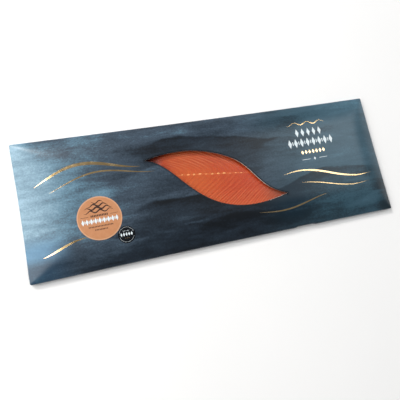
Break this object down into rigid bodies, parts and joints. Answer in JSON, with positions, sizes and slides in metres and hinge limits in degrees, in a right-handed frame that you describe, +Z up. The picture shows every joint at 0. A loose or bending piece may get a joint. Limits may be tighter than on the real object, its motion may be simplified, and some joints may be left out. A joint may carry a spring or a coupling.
{
  "type": "pack of smoked salmon",
  "caption": "Long flat printed card carton with a leaf-shaped window over a film-wrapped side of smoked salmon, with round paper labels on its face.",
  "frame": {"origin": "middle of the carton's base, on the surface it lies on", "axes": "+X along the carton towards the fish's head end, +Y across it towards the fish's back, +Z up through the window"},
  "size_m": [0.6, 0.207, 0.022],
  "materials": {
    "printed_card": "satin varnished slate-blue print on white board",
    "salmon": "moist orange-red flesh in tight film",
    "label_paper": "satin orange paper",
    "roundel_paper": "satin black paper",
    "clear_film": "clear glossy film",
    "gold_foil": "bright hot foil print",
    "white_print": "satin white ink"
  },
  "bodies": {
    "root": {"carton": "printed_card", "salmon_side": "salmon", "round_label": "label_paper", "small_roundel": "roundel_paper"}
  },
  "joints": []
}
